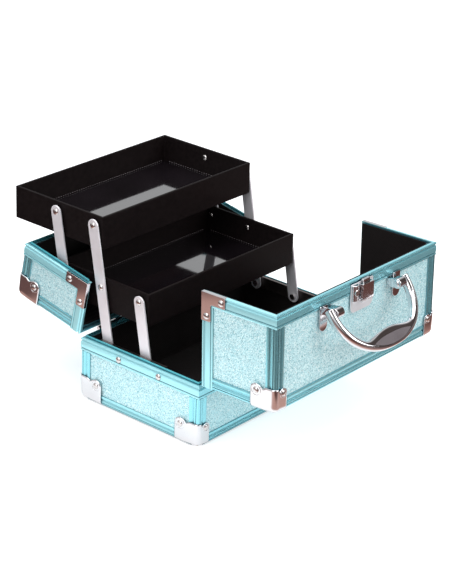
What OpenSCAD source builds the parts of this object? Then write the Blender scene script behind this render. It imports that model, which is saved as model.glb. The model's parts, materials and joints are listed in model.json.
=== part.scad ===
// Makeup train case: a hard case with a split, double-hinged lid and two cantilever trays.
// X runs along the length, the latch side faces -Y, Z is up.  The origin is the centre of the underside.
// It is drawn with both lids open and the trays raised.  Every lid part is laid out as if its lid
// were shut, then turned open about its hinge.

/* [Case] */
// Length over the edge extrusions
case_l = 240; // [236:1:244]
// Width over the edge extrusions
case_w = 151.5; // [150:0.5:156]
// Height of the base, up to its rim
base_h = 63.5; // [60:0.5:70]
// Height of the closed lids above the rim
lid_h = 86.8; // [86:0.2:92]
// How far the front lid reaches back from the front face
front_depth = 94.5; // [92:0.5:97]

/* [Opening] */
// Angle of the open front lid
front_open = 88.3; // [80:0.1:90]
// Angle of the open rear lid
rear_open = 78.8; // [78:0.1:90]
// Backward lean of the raised tray straps
strap_lean = 10.3; // [6:0.1:11]
// Angle of the resting handle above the lid panel
handle_tilt = 38; // [30:1:60]

/* [Trays] */
// Length of a tray
tray_l = 214; // [210:1:214]
// Depth of a tray from front to back
tray_w = 117.2; // [114:0.2:118]
// Height of a tray
tray_h = 32.9; // [28:0.1:33]
// Distance between neighbouring pivots of a strap
strap_pitch = 61; // [58:0.5:61.5]
// Distance between neighbouring pivots along a tray
pivot_pitch = 49.3; // [48:0.1:50]

/* [Carry handle] */
// Half of the handle's outer width
bow_half_w = 59.5; // [58.5:0.5:61]
// Reach of the handle from its pivot axis
bow_reach = 50; // [49:0.5:52]

/* [Hidden] */
$fn = 48;

// Colours
TURQUOISE = "#33b3c8";
GLITTER = "#bfeaf0";
CHROME = "#d8d8dc";
BLACK = "#241f20";
BOARD = "#b79a73";
STRAP = "#d6d2d8";

// Wall build-up, as depths measured inwards from the outer face of the extrusions
ext_t = 1.2;                    // wall of the aluminium extrusions, and the depth of the glitter skin
board_out = 1.6;                // outer face of the boards
board_in = 4.6;                 // inner face of the boards
lining_in = 5.1;                // inner face of the fabric lining
band_w = 12;                    // visible width of the corner extrusions
rail_w = 10;                    // visible width of the base's bottom rails
rim_w = 13.3;                   // visible width of the rim extrusions
rim_inner = board_in + ext_t;   // inner face of the rim extrusions
rim_inner_w = 8;                // height of the rim extrusion's inner leg
tongue_h = 2.5;                 // raised tongue on the base rim and on the rear lid's split edge
groove = 2.7;                   // depth of the groove that takes the tongue
skin_tuck = 6;                  // how far the skin stops short of an edge, under the extrusion
edge_r = 2.5;                   // outside radius of the extrusions

half_l = case_l / 2;
half_w = case_w / 2;
rim_z = base_h;
top_z = base_h + lid_h;
split_y = front_depth - half_w;
rear_depth = case_w - front_depth;

// Chrome hardware
guard_t = 1.2;
guard_l = 29;                   // reach of a corner guard along the ends
guard_w = 16;                   // its reach along the front and back
guard_h = 24;
ear_drop = 5;                   // ear rivet below the guard's upper edge
ear_r = [4.7, 6.5];             // ear radius on the front and back, and on the ends
bracket_l = 28;
bracket_w = 11;
bracket_t = 0.8;
rivet_r = 3.2;
rivet_h = 1.4;
shank_r = 1.5;

// Hinges
hinge_out = 2.5;                // hinge axis outside the wall
hinge_y = half_w + hinge_out;
hinge_l = 40;
hinge_x = 74;
leaf_t = 1;
leaf_h = 11;
knuckles = 5;
knuckle_r = 2;
knuckle_gap = 0.2;
pin_r = 1;
running = 0.05;                 // radial running clearance

// Tray straps and their rails
strap_w = 12.5;
strap_t = 1.8;
strap_x = tray_l / 2 + 1.8;     // inner face of the straps
rail_x = strap_x + strap_t + 1; // inner face of the rail web
rail_t = 1.2;
rail_y = [-29, 56];
rail_z = [rim_z - 10.5, rim_z + 2];
pivot_drop = 9.5;               // tray pivots below the tray's top edge, and behind its front edge
pivot_r = 1.6;
tray_t = 2.5;
tray_floor = 4.6;
mat_t = 0.8;
base_pivot_z = rim_z - 5.7;
front_pivot_y = -0.9;
long_pivot_y = front_pivot_y + pivot_pitch;
strap_dy = strap_pitch * sin(strap_lean);
strap_dz = strap_pitch * cos(strap_lean);
lower_pivot = [front_pivot_y + strap_dy, base_pivot_z + strap_dz];
upper_pivot = [long_pivot_y + 2 * strap_dy, base_pivot_z + 2 * strap_dz];

// Handle, laid out on the shut front lid
axle_y = split_y - 16.4;
axle_z = top_z - ext_t + 11.5;
axle_r = 2;
bow_power = 2.25;
bow_inner_w = 52.5;
bow_inner_reach = 43.2;
bow_inner_power = 2.4;
bow_hump = 10.5;
bow_hump_w = 36;
grip_half = 24;                 // half of the grip pad's length
bow_t = 9;
bow_steps = 18;
eye_r = 5.4;
foot_x = [49.5, 60.5];
ear_x = [42, 52.2];               // the ear that holds the pin, beside the eye
foot_y = [axle_y - 18.5, axle_y + 6.4];

// Latch, laid out on the shut front lid
latch_x = [-15, 18];
latch_y = [split_y - 31.5, split_y - 3];
latch_t = 1.2;
lever_x = [-4.5, 12];
lever_ear_t = 1.7;
lever_gap = 0.3;                // side play of the lever between its ears
lever_pin_y = split_y - 19.5;
lever_pin_z = top_z + latch_t + 3;
lever_pin_r = 1.2;
lever_top = 5.2;
lever_end = split_y - 4.2;
barrel_x = -10;
barrel_y = split_y - 11;
barrel_r = 3.4;
barrel_h = 5;
claw_x = [-1, 9];

// ---------- shared shapes ----------

module block(low, high) {
    translate(low) cube(high - low);
}

// A copy at each end of the case
module both_ends() {
    for (side = [0, 1]) mirror([side, 0, 0]) children();
}

// A copy at each corner of the base
module four_corners() {
    both_ends() for (side = [0, 1]) mirror([0, side, 0]) children();
}

// Turns a shut lid's parts open
module open_front() {
    translate([0, -hinge_y, rim_z]) rotate([front_open, 0, 0]) translate([0, hinge_y, -rim_z]) children();
}
module open_rear() {
    translate([0, hinge_y, rim_z]) rotate([-rear_open, 0, 0]) translate([0, -hinge_y, -rim_z]) children();
}

// Profiles run along an axis: the profile's x and y point inwards from the two outer faces
module run_x(y, z, sy, sz, x0, x1) {
    translate([x0, y, z]) mirror([0, sy < 0 ? 1 : 0, 0]) mirror([0, 0, sz < 0 ? 1 : 0])
        rotate([90, 0, 90]) linear_extrude(x1 - x0) children();
}
module run_y(x, z, sx, sz, y0, y1) {
    translate([x, y1, z]) mirror([sx < 0 ? 1 : 0, 0, 0]) mirror([0, 0, sz < 0 ? 1 : 0])
        rotate([90, 0, 0]) linear_extrude(y1 - y0) children();
}
module run_z(x, y, sx, sy, z0, z1) {
    translate([x, y, z0]) mirror([sx < 0 ? 1 : 0, 0, 0]) mirror([0, sy < 0 ? 1 : 0, 0])
        linear_extrude(z1 - z0) children();
}

// Corner extrusion: an angle with a rounded outside corner
module angle_profile(w = band_w) {
    intersection() {
        difference() {
            square(w);
            translate([ext_t, ext_t]) square(w);
        }
        union() {
            translate([edge_r, 0]) square(w);
            translate([0, edge_r]) square(w);
            translate([edge_r, edge_r]) circle(edge_r);
        }
    }
}

// Rim extrusion with the raised tongue: x is the depth, y runs away from the edge
module tongue_profile() {
    square([ext_t, rim_w]);
    square([rim_inner, ext_t]);
    translate([board_in - ext_t, -tongue_h]) square([ext_t, tongue_h + ext_t]);
}

// Rim extrusion with the groove for the tongue
module groove_profile() {
    lip = board_in - ext_t - 0.2;
    square([ext_t, rim_w]);
    square([lip, ext_t]);
    translate([lip - ext_t, 0]) square([ext_t, groove + ext_t]);
    translate([lip - ext_t, groove]) square([rim_inner - lip + ext_t, ext_t]);
}

// Inner leg of a rim extrusion, which stops between the boards
module inner_leg(start) {
    translate([board_in, start]) square([ext_t, rim_inner_w - start]);
}

// Rivet with a domed head, standing on z = 0 with its shank below
module rivet(head_r = rivet_r, head_h = rivet_h, shank = 2.5) {
    dome_r = (head_r * head_r + head_h * head_h) / (2 * head_h);
    rotate_extrude() intersection() {
        translate([0, head_h - dome_r]) circle(dome_r);
        square([head_r, head_h]);
    }
    translate([0, 0, -shank]) cylinder(r = shank_r, h = shank);
}

// The same, standing on the end face at x, or on the face at y that looks along sy
module end_rivet(x, y, z) {
    translate([x, y, z]) rotate([0, 90, 0]) rivet();
}
module side_rivet(x, y, z, sy) {
    translate([x, y, z]) rotate([-90 * sy, 0, 0]) rivet();
}

// Solid corner with rounded edges, reaching along +X, +Y and +Z from the origin
module rounded_corner(size, r) {
    translate([r, r, 0]) cube(size - [r, r, 0]);
    translate([r, 0, r]) cube(size - [r, 0, r]);
    translate([0, r, r]) cube(size - [0, r, r]);
    translate([r, r, r]) cylinder(r = r, h = size.z - r);
    translate([r, r, r]) rotate([0, 90, 0]) cylinder(r = r, h = size.x - r);
    translate([r, r, r]) rotate([-90, 0, 0]) cylinder(r = r, h = size.y - r);
    translate([r, r, r]) sphere(r);
}

// Pressed chrome corner with a riveted ear on its two upright faces; its outside corner is the origin
module corner_guard() {
    size = [guard_w, guard_l, guard_h];
    ear = guard_h - ear_drop;
    difference() {
        union() {
            rounded_corner(size, 4);
            translate([0, guard_l - ear_r[1], ear]) rotate([0, 90, 0]) cylinder(r = ear_r[1], h = guard_t);
            translate([guard_w - ear_r[0], 0, ear]) rotate([-90, 0, 0]) cylinder(r = ear_r[0], h = guard_t);
        }
        translate([guard_t, guard_t, guard_t]) cube(2 * guard_l);
    }
}

// Butt hinge leaf in the shut position: up is +1 for the lid's leaf and -1 for the base's.
// It lies on the face y = 0 of a wall that looks along -Y, with the axis at z = 0.
module hinge_leaf(up) {
    step = hinge_l / knuckles;
    first = up > 0 ? 1 : 0;
    difference() {
        union() {
            translate([-hinge_l / 2, -leaf_t, up > 0 ? knuckle_r + knuckle_gap : -leaf_h])
                cube([hinge_l, leaf_t, leaf_h - knuckle_r - knuckle_gap]);
            for (i = [first : 2 : knuckles - 1]) translate([-hinge_l / 2 + i * step, 0, 0]) {
                translate([knuckle_gap, -leaf_t, up > 0 ? 0 : -knuckle_r - 2 * knuckle_gap])
                    cube([step - 2 * knuckle_gap, leaf_t, knuckle_r + 2 * knuckle_gap]);
                translate([knuckle_gap, -hinge_out, 0]) rotate([0, 90, 0])
                    cylinder(r = knuckle_r, h = step - 2 * knuckle_gap);
            }
        }
        translate([-hinge_l, -hinge_out, 0]) rotate([0, 90, 0])
            cylinder(r = pin_r + running, h = 2 * hinge_l);
    }
}
module hinge_pin() {
    translate([-hinge_l / 2, -hinge_out, 0]) rotate([0, 90, 0]) cylinder(r = pin_r, h = hinge_l);
}

// ---------- base ----------

module base_bottom_board() {
    color(BOARD) block([-half_l + board_out, -half_w + board_out, board_out],
                       [half_l - board_out, half_w - board_out, board_in]);
}

module base_long_boards() {
    color(BOARD) for (side = [0, 1]) mirror([0, side, 0])
        block([-half_l + board_out, -half_w + board_out, board_in],
              [half_l - board_out, -half_w + board_in, rim_z - ext_t]);
}

module base_end_boards() {
    color(BOARD) both_ends()
        block([half_l - board_in, -half_w + board_in, board_in],
              [half_l - board_out, half_w - board_in, rim_z - ext_t]);
}

module base_skins() {
    color(GLITTER) {
        for (side = [0, 1]) mirror([0, side, 0])
            block([-half_l + skin_tuck, -half_w + ext_t, skin_tuck],
                  [half_l - skin_tuck, -half_w + board_out, rim_z - skin_tuck]);
        both_ends()
            block([half_l - board_out, -half_w + skin_tuck, skin_tuck],
                  [half_l - ext_t, half_w - skin_tuck, rim_z - skin_tuck]);
    }
}

// Flush wear sheet on the underside, notched for the corner guards
module base_underside_sheet() {
    color(BLACK) difference() {
        block([-half_l + rail_w, -half_w + rail_w, 0], [half_l - rail_w, half_w - rail_w, board_out]);
        four_corners() guard_footprint();
    }
}

module base_lining() {
    color(BLACK) difference() {
        block([-half_l + board_in, -half_w + board_in, board_in],
              [half_l - board_in, half_w - board_in, rim_z - rim_inner_w]);
        block([-half_l + lining_in, -half_w + lining_in, lining_in],
              [half_l - lining_in, half_w - lining_in, rim_z]);
    }
}

module base_rim() {
    color(TURQUOISE) difference() {
        base_rim_runs();
        tongue_surround();
    }
}

// Room around the raised tongue for the lids' lips, where the runs cross at the corners
module tongue_surround() {
    out = board_in - ext_t;
    difference() {
        block([-half_l - 1, -half_w - 1, rim_z], [half_l + 1, half_w + 1, rim_z + tongue_h + 1]);
        block([-half_l + out, -half_w + out, rim_z - 1],
              [half_l - out, half_w - out, rim_z + tongue_h + 2]);
    }
}

module base_rim_runs() {
    union() {
        for (sy = [-1, 1]) {
            run_x(sy * half_w, rim_z, -sy, -1, -half_l, half_l) tongue_profile();
            run_x(sy * half_w, rim_z, -sy, -1, -half_l + board_in, half_l - board_in) inner_leg(0);
        }
        for (sx = [-1, 1]) {
            run_y(sx * half_l, rim_z, -sx, -1, -half_w, half_w) tongue_profile();
            run_y(sx * half_l, rim_z, -sx, -1, -half_w + board_in, half_w - board_in) inner_leg(0);
        }
    }
}

module base_corner_posts() {
    color(TURQUOISE) four_corners()
        run_z(-half_l, -half_w, 1, 1, rail_w, rim_z - rim_w) angle_profile();
}

module base_bottom_rails() {
    color(TURQUOISE) difference() {
        union() {
            for (sy = [-1, 1]) run_x(sy * half_w, 0, -sy, 1, -half_l, half_l) angle_profile(rail_w);
            for (sx = [-1, 1]) run_y(sx * half_l, 0, -sx, 1, -half_w, half_w) angle_profile(rail_w);
        }
        four_corners() guard_footprint();
    }
}

// Room for a corner guard's bottom plate
module guard_footprint() {
    block([-half_l - guard_w, -half_w - guard_l, -1], [-half_l + guard_w, -half_w + guard_l, guard_t]);
}

module base_corner_guards() {
    color(CHROME) four_corners()
        difference() {
            translate([-half_l - guard_t, -half_w - guard_t, 0]) corner_guard();
            block([-half_l, -half_w, guard_t], [0, 0, 2 * guard_h]);
        }
}

module base_rivets() {
    side_in = guard_w - guard_t - ear_r[0];
    end_in = guard_l - guard_t - ear_r[1];
    ear_z = guard_h - ear_drop;
    color(CHROME) {
        four_corners() {
            mirror([1, 0, 0]) end_rivet(half_l + guard_t, -half_w + end_in, ear_z);
            side_rivet(-half_l + side_in, -half_w - guard_t, ear_z, -1);
        }
        both_ends() for (y = [-25, 26]) end_rivet(half_l, y, rim_z - 7.3);
    }
}

// Folded strip inside each end wall that carries the strap pivots
module tray_rails() {
    wall_x = half_l - rim_inner;
    color(STRAP) both_ends() difference() {
        union() {
            block([rail_x, rail_y[0], rail_z[0]], [rail_x + rail_t, rail_y[1], rail_z[1]]);
            block([rail_x, rail_y[0], rail_z[0]], [wall_x, rail_y[1], rail_z[0] + rail_t]);
            block([rail_x, rail_y[0], rim_z + 0.3], [wall_x, rail_y[1], rail_z[1]]);
        }
        for (y = [front_pivot_y, long_pivot_y]) translate([rail_x - 1, y, base_pivot_z])
            rotate([0, 90, 0]) cylinder(r = pivot_r, h = 4);
    }
}

// ---------- lids ----------
// Each is laid out shut, with its hinge wall at -Y; the rear lid is the mirror image of this layout.

module lid_wall_board() {
    block([-half_l + board_out, -half_w + board_out, rim_z + groove + ext_t],
          [half_l - board_out, -half_w + board_in, top_z - board_in]);
}

module lid_top_board(depth) {
    block([-half_l + board_out, -half_w + board_out, top_z - board_in],
          [half_l - board_out, depth - half_w - groove - ext_t, top_z - board_out]);
}

module lid_end_boards(depth) {
    both_ends()
        block([half_l - board_in, -half_w + board_in, rim_z + groove + ext_t],
              [half_l - board_out, depth - half_w - groove - ext_t, top_z - board_in]);
}

module lid_skins(depth) {
    back = depth - half_w - skin_tuck;
    block([-half_l + skin_tuck, -half_w + ext_t, rim_z + skin_tuck],
          [half_l - skin_tuck, -half_w + board_out, top_z - skin_tuck]);
    block([-half_l + skin_tuck, -half_w + skin_tuck, top_z - board_out],
          [half_l - skin_tuck, back, top_z - ext_t]);
    both_ends()
        block([half_l - board_out, -half_w + skin_tuck, rim_z + skin_tuck],
              [half_l - ext_t, back, top_z - skin_tuck]);
}

module lid_lining(depth) {
    difference() {
        block([-half_l + board_in, -half_w + board_in, rim_z + rim_inner_w],
              [half_l - board_in, depth - half_w - rim_inner_w, top_z - board_in]);
        block([-half_l + lining_in, -half_w + lining_in, rim_z],
              [half_l - lining_in, depth - half_w, top_z - lining_in]);
    }
}

module lid_rim(depth, with_tongue) {
    difference() {
        lid_rim_runs(depth, with_tongue);
        rim_rebate();
        split_tongue_surround(depth - half_w);
    }
}

// Room for the base's tongue inside the foot of a lid
module rim_rebate() {
    lip = board_in - ext_t - 0.2;
    block([-half_l + lip, -half_w + lip, rim_z - tongue_h - 1], [half_l - lip, half_w, rim_z + groove]);
}

// Room around a split edge's tongue, where its runs cross at the corners
module split_tongue_surround(edge) {
    out = board_in - ext_t;
    difference() {
        block([-half_l - 1, edge, rim_z - 1], [half_l + 1, edge + tongue_h + 1, top_z + 1]);
        block([-half_l + out, edge - 1, rim_z - 2], [half_l - out, edge + tongue_h + 2, top_z - out]);
    }
}

module lid_rim_runs(depth, with_tongue) {
    edge = depth - half_w;
    for (sx = [-1, 1]) {
        run_y(sx * half_l, rim_z, -sx, 1, -half_w, edge) groove_profile();
        run_y(sx * half_l, rim_z, -sx, 1, -half_w + board_in, edge - groove) inner_leg(groove);
        run_z(sx * half_l, edge, -sx, -1, rim_z, top_z)
            if (with_tongue) tongue_profile(); else groove_profile();
        run_z(sx * half_l, edge, -sx, -1, rim_z + groove, top_z - board_in) inner_leg(groove);
    }
    run_x(-half_w, rim_z, 1, 1, -half_l, half_l) groove_profile();
    run_x(-half_w, rim_z, 1, 1, -half_l + board_in, half_l - board_in) inner_leg(groove);
    split_rim(edge, -half_l, half_l) if (with_tongue) tongue_profile(); else groove_profile();
    split_rim(edge, -half_l + board_in, half_l - board_in) inner_leg(groove);
}

// Profile along the top edge of a lid's split side
module split_rim(edge, x0, x1) {
    translate([x0, edge, top_z]) rotate([90, 0, 90]) mirror([1, 0]) mirror([0, 1])
        linear_extrude(x1 - x0) mirror([1, -1]) children();
}

module lid_edge_angles(depth) {
    run_x(-half_w, top_z, 1, -1, -half_l, half_l) angle_profile();
    for (sx = [-1, 1]) {
        run_y(sx * half_l, top_z, -sx, -1, -half_w, depth - half_w - rim_w) angle_profile();
        run_z(sx * half_l, -half_w, -sx, 1, rim_z + rim_w, top_z) angle_profile();
    }
}

// Its plain face lies on the hinge wall, its ears on the end and on the top
module lid_corner_guards() {
    both_ends() difference() {
        translate([half_l + guard_t, -half_w - guard_t, top_z + guard_t])
            mirror([1, 0, 0]) rotate([-90, 0, 0]) corner_guard();
        block([0, -half_w, rim_z], [half_l, 0, top_z]);
    }
}

// Flat bracket over the corner between the rim and the split edge
module lid_brackets(depth) {
    both_ends() translate([half_l, depth - half_w, rim_z]) {
        block([0, -bracket_l, 0], [bracket_t, 0, bracket_w]);
        block([0, -bracket_w, 0], [bracket_t, 0, bracket_l]);
    }
}

module lid_rivets(depth) {
    top_in = guard_w - guard_t - ear_r[0];
    end_in = guard_l - guard_t - ear_r[1];
    ear_y = -half_w - guard_t + guard_h - ear_drop;
    edge = depth - half_w;
    both_ends() {
        end_rivet(half_l + guard_t, ear_y, top_z - end_in);
        translate([half_l - top_in, ear_y, top_z + guard_t]) rivet();
        end_rivet(half_l + bracket_t, edge - 6, rim_z + 23);
        end_rivet(half_l + bracket_t, edge - 23, rim_z + 6);
    }
}

module lid_hinge_leaves() {
    both_ends() translate([hinge_x, -half_w, rim_z]) hinge_leaf(1);
}

module as_rear() {
    open_rear() mirror([0, 1, 0]) children();
}

module front_lid_front_board() { color(BOARD) open_front() lid_wall_board(); }
module front_lid_top_board() { color(BOARD) open_front() lid_top_board(front_depth); }
module front_lid_end_boards() { color(BOARD) open_front() lid_end_boards(front_depth); }
module front_lid_skins() { color(GLITTER) open_front() lid_skins(front_depth); }
module front_lid_lining() { color(BLACK) open_front() lid_lining(front_depth); }
module front_lid_rim() { color(TURQUOISE) open_front() lid_rim(front_depth, false); }
module front_lid_edge_angles() { color(TURQUOISE) open_front() lid_edge_angles(front_depth); }
module front_lid_corner_guards() { color(CHROME) open_front() lid_corner_guards(); }
module front_lid_brackets() { color(CHROME) open_front() lid_brackets(front_depth); }
module front_lid_rivets() { color(CHROME) open_front() lid_rivets(front_depth); }
module front_hinge_leaves() { color(CHROME) open_front() lid_hinge_leaves(); }

module rear_lid_rear_board() { color(BOARD) as_rear() lid_wall_board(); }
module rear_lid_top_board() { color(BOARD) as_rear() lid_top_board(rear_depth); }
module rear_lid_end_boards() { color(BOARD) as_rear() lid_end_boards(rear_depth); }
module rear_lid_skins() { color(GLITTER) as_rear() lid_skins(rear_depth); }
module rear_lid_lining() { color(BLACK) as_rear() lid_lining(rear_depth); }
module rear_lid_rim() { color(TURQUOISE) as_rear() lid_rim(rear_depth, true); }
module rear_lid_edge_angles() { color(TURQUOISE) as_rear() lid_edge_angles(rear_depth); }
module rear_lid_corner_guards() { color(CHROME) as_rear() lid_corner_guards(); }
module rear_lid_brackets() { color(CHROME) as_rear() lid_brackets(rear_depth); }
module rear_lid_rivets() { color(CHROME) as_rear() lid_rivets(rear_depth); }
module rear_hinge_leaves() { color(CHROME) as_rear() lid_hinge_leaves(); }

// ---------- hinges on the base ----------

module at_hinges(sy) {
    both_ends() mirror([0, sy > 0 ? 1 : 0, 0]) translate([hinge_x, -half_w, rim_z]) children();
}
module base_hinge_leaves() {
    color(CHROME) for (sy = [-1, 1]) at_hinges(sy) hinge_leaf(-1);
}
module front_hinge_pins() {
    color(CHROME) at_hinges(-1) hinge_pin();
}
module rear_hinge_pins() {
    color(CHROME) at_hinges(1) hinge_pin();
}

// ---------- carry handle ----------

// Outline of half of the bow: superellipses outside and inside, with a hump at the grip
function bow_outer(t) = [bow_half_w * pow(cos(t), 2 / bow_power), -bow_reach * pow(sin(t), 2 / bow_power)];
function bow_hump_at(x) = x < bow_hump_w ? bow_hump * pow(1 - pow(x / bow_hump_w, 2), 1.5) : 0;
function bow_inner(t) =
    let (x = bow_inner_w * pow(cos(t), 2 / bow_inner_power))
    [x, -bow_inner_reach * pow(sin(t), 2 / bow_inner_power) + bow_hump_at(x)];

module bow_half() {
    polygon(concat(
        [for (i = [0 : bow_steps]) bow_outer(90 * i / bow_steps)],
        [for (i = [bow_steps : -1 : 0]) bow_inner(90 * i / bow_steps)]));
}

// Places the bow's plane at its resting tilt about the handle axis
module at_bow() {
    open_front() translate([0, axle_y, axle_z]) rotate([-handle_tilt, 0, 0]) children();
}

module handle_bow() {
    color(CHROME) at_bow() both_ends() difference() {
        union() {
            translate([0, 0, -bow_t / 2]) linear_extrude(bow_t) bow_half();
            translate([bow_inner_w, 0, 0]) rotate([0, 90, 0])
                cylinder(r = eye_r, h = bow_half_w - bow_inner_w);
        }
        rotate([0, 90, 0]) cylinder(r = axle_r + running, h = bow_half_w + 1);
        block([-1, -bow_reach + 4.2, bow_t / 2 - 1], [grip_half, -bow_reach + 12, bow_t]);
    }
}

// Pad let into the outer face of the bow's hump
module handle_grip() {
    color(STRAP) at_bow()
        block([-grip_half + 0.3, -bow_reach + 4.5, bow_t / 2 - 1],
              [grip_half - 0.3, -bow_reach + 11.7, bow_t / 2 + 0.6]);
}

// Cast foot: a plate on the lid with one ear that holds the pin
module handle_feet() {
    round_r = (foot_x[1] - foot_x[0]) / 2;
    color(CHROME) open_front() both_ends() difference() {
        union() {
            block([foot_x[0], foot_y[0] + round_r, top_z], [foot_x[1], foot_y[1], top_z + 1.2]);
            translate([foot_x[0] + round_r, foot_y[0] + round_r, top_z]) cylinder(r = round_r, h = 1.2);
            block([foot_x[0] + 1, foot_y[0] + round_r, top_z - ext_t],
                  [foot_x[1] - 1, split_y - rim_w - 0.2, top_z]);
            block([ear_x[0], axle_y - eye_r + 1, top_z - ext_t],
                  [ear_x[1], min(axle_y + eye_r - 1, split_y - rim_w - 0.2), axle_z]);
            translate([ear_x[0], axle_y, axle_z]) rotate([0, 90, 0])
                cylinder(r = eye_r - 1, h = ear_x[1] - ear_x[0]);
        }
        translate([0, axle_y, axle_z]) rotate([0, 90, 0]) cylinder(r = axle_r, h = 2 * bow_half_w);
    }
}

module handle_pins() {
    color(CHROME) open_front() both_ends() translate([ear_x[0], axle_y, axle_z]) rotate([0, 90, 0])
        cylinder(r = axle_r, h = bow_half_w - ear_x[0]);
}

// ---------- latch ----------

module latch_plate() {
    color(CHROME) open_front() difference() {
        union() {
            block([latch_x[0], latch_y[0] + 6, top_z], [latch_x[1], latch_y[1], top_z + latch_t]);
            block([latch_x[0] + 6, latch_y[0], top_z], [latch_x[1] - 6, latch_y[1], top_z + latch_t]);
            for (x = [latch_x[0] + 6, latch_x[1] - 6])
                translate([x, latch_y[0] + 6, top_z]) cylinder(r = 6, h = latch_t);
            translate([barrel_x, barrel_y, top_z]) cylinder(r = barrel_r + 0.8, h = barrel_h);
            for (x = [lever_x[0] - lever_gap - lever_ear_t, lever_x[1] + lever_gap])
                block([x, lever_pin_y - 2.5, top_z], [x + lever_ear_t, lever_pin_y + 2.5, lever_pin_z + 2.2]);
        }
        translate([barrel_x, barrel_y, top_z - 1]) cylinder(r = barrel_r + running, h = barrel_h + 2);
        translate([latch_x[0], lever_pin_y, lever_pin_z]) rotate([0, 90, 0])
            cylinder(r = lever_pin_r, h = latch_x[1] - latch_x[0] + 2);
    }
}

module latch_pin() {
    over = lever_gap + lever_ear_t;
    color(CHROME) open_front() translate([lever_x[0] - over, lever_pin_y, lever_pin_z]) rotate([0, 90, 0])
        cylinder(r = lever_pin_r, h = lever_x[1] - lever_x[0] + 2 * over);
}

module latch_lever() {
    bottom = top_z + latch_t + 0.3;
    color(CHROME) open_front() difference() {
        union() {
            block([lever_x[0], lever_pin_y, bottom],
                  [lever_x[1], lever_end, top_z + latch_t + lever_top]);
            translate([lever_x[0], lever_pin_y, lever_pin_z]) rotate([0, 90, 0])
                cylinder(r = 2.6, h = lever_x[1] - lever_x[0]);
        }
        translate([lever_x[0] - 1, lever_pin_y, lever_pin_z]) rotate([0, 90, 0])
            cylinder(r = lever_pin_r + running, h = lever_x[1] - lever_x[0] + 2);
    }
}

// Hook at the lever's end, just short of the split edge
module latch_claw() {
    low = top_z + latch_t + 1.6;
    color(CHROME) open_front() {
        block([claw_x[0], lever_end, low], [claw_x[1], split_y - 0.7, low + 1.6]);
        block([claw_x[0], split_y - 1.9, top_z + 1.4], [claw_x[1], split_y - 0.7, low + 0.1]);
    }
}

// Catch plate on the rear lid, with a lip that reaches under the hook
module latch_strike() {
    x = [claw_x[0] + 0.5, claw_x[1] - 0.5];
    lip_y = split_y - 3.2;
    color(CHROME) open_rear() {
        block([x[0], split_y + 0.5, top_z], [x[1], split_y + 12, top_z + 1.1]);
        block([x[0], lip_y, top_z + 0.3], [x[1], split_y + 1, top_z + 1.1]);
        block([x[0], lip_y, top_z + 0.3], [x[1], lip_y + 1, top_z + 2.4]);
    }
}

module lock_barrel() {
    color(CHROME) open_front() translate([barrel_x, barrel_y, top_z]) difference() {
        cylinder(r = barrel_r, h = barrel_h - 0.4);
        translate([-0.6, -2, barrel_h - 3]) cube([1.2, 4, 4]);
    }
}

// ---------- trays ----------

// Positions of a tray: its first pivot as [y, z]
module tray_shell(pivot, holes) {
    low = [-tray_l / 2, pivot[0] - pivot_drop, pivot[1] + pivot_drop - tray_h];
    high = [tray_l / 2, low.y + tray_w, low.z + tray_h];
    difference() {
        block(low, high);
        block(low + [tray_t, tray_t, tray_floor], high + [-tray_t, -tray_t, 1]);
        for (i = [0 : holes - 1])
            translate([-tray_l, pivot[0] + i * pivot_pitch, pivot[1]]) rotate([0, 90, 0])
                cylinder(r = pivot_r, h = 2 * tray_l);
    }
}

module tray_mat(pivot) {
    low = [-tray_l / 2, pivot[0] - pivot_drop, pivot[1] + pivot_drop - tray_h];
    inset = tray_t + 0.5;
    block(low + [inset, inset, tray_floor], low + [tray_l - inset, tray_w - inset, tray_floor + mat_t]);
}

// Shouldered pivot rivets through a tray's end walls and the straps outside them
module tray_pivots(pivot, count) {
    inside = tray_l / 2 - tray_t;
    both_ends() for (i = [0 : count - 1])
        translate([inside, pivot[0] + i * pivot_pitch, pivot[1]]) rotate([0, 90, 0]) {
            translate([0, 0, -0.8]) cylinder(r = 2.6, h = 0.8);
            cylinder(r = pivot_r, h = strap_x + strap_t + 0.1 - inside);
            translate([0, 0, tray_t]) cylinder(r = 3.5, h = strap_x - tray_l / 2 - 0.1);
            translate([0, 0, strap_x + strap_t + 0.1 - inside]) cylinder(r = 3, h = 0.7);
        }
}

module lower_tray() { color(BLACK) tray_shell(lower_pivot, 3); }
module lower_tray_mat() { color(BLACK) tray_mat(lower_pivot); }
module lower_tray_rivets() { color(CHROME) tray_pivots(lower_pivot, 3); }
module upper_tray() { color(BLACK) tray_shell(upper_pivot, 2); }
module upper_tray_mat() { color(BLACK) tray_mat(upper_pivot); }
module upper_tray_rivets() { color(CHROME) tray_pivots(upper_pivot, 2); }

// Flat strap with a running hole at every pivot, standing up from its lowest pivot
module strap(pitches) {
    both_ends() rotate([0, 90, 0]) translate([0, 0, strap_x]) difference() {
        union() {
            translate([-pitches * strap_pitch, -strap_w / 2, 0])
                cube([pitches * strap_pitch, strap_w, strap_t]);
            for (i = [0, pitches]) translate([-i * strap_pitch, 0, 0]) cylinder(d = strap_w, h = strap_t);
        }
        for (i = [0 : pitches]) translate([-i * strap_pitch, 0, -1])
            cylinder(r = pivot_r + running, h = strap_t + 2);
    }
}

module at_strap(y, z) {
    translate([0, y, z]) rotate([-strap_lean, 0, 0]) children();
}

module long_straps() { color(STRAP) at_strap(long_pivot_y, base_pivot_z) strap(2); }
module front_straps() { color(STRAP) at_strap(front_pivot_y, base_pivot_z) strap(1); }
module rear_straps() { color(STRAP) at_strap(lower_pivot[0] + 2 * pivot_pitch, lower_pivot[1]) strap(1); }

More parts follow.
